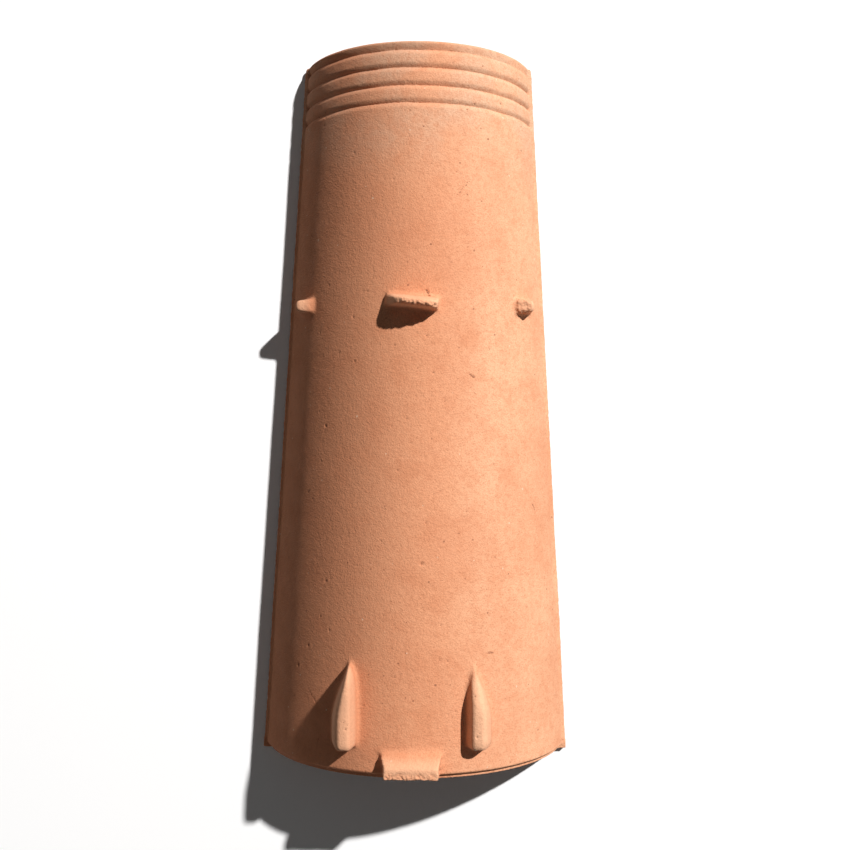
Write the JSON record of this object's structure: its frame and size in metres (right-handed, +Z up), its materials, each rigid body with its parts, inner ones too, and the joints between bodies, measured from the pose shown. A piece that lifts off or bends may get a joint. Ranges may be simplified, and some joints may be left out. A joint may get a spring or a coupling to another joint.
{
  "type": "clay roof tile",
  "caption": "Tapered half-barrel clay roof tile with grooved narrow end, stop nib and two pegs, two boat-shaped ribs and a crown pad at the wide end.",
  "frame": {"origin": "on the ground under the middle of the tile, which lies on its two long edges", "axes": "+Y towards the narrow end, +Z up through the crown, +X across the tile"},
  "size_m": [0.2, 0.45, 0.0819],
  "materials": {
    "terracotta": "matt pressed and fired clay, fine sandy grain with small pits"
  },
  "bodies": {
    "root": {"roof_tile": "terracotta"}
  },
  "joints": []
}
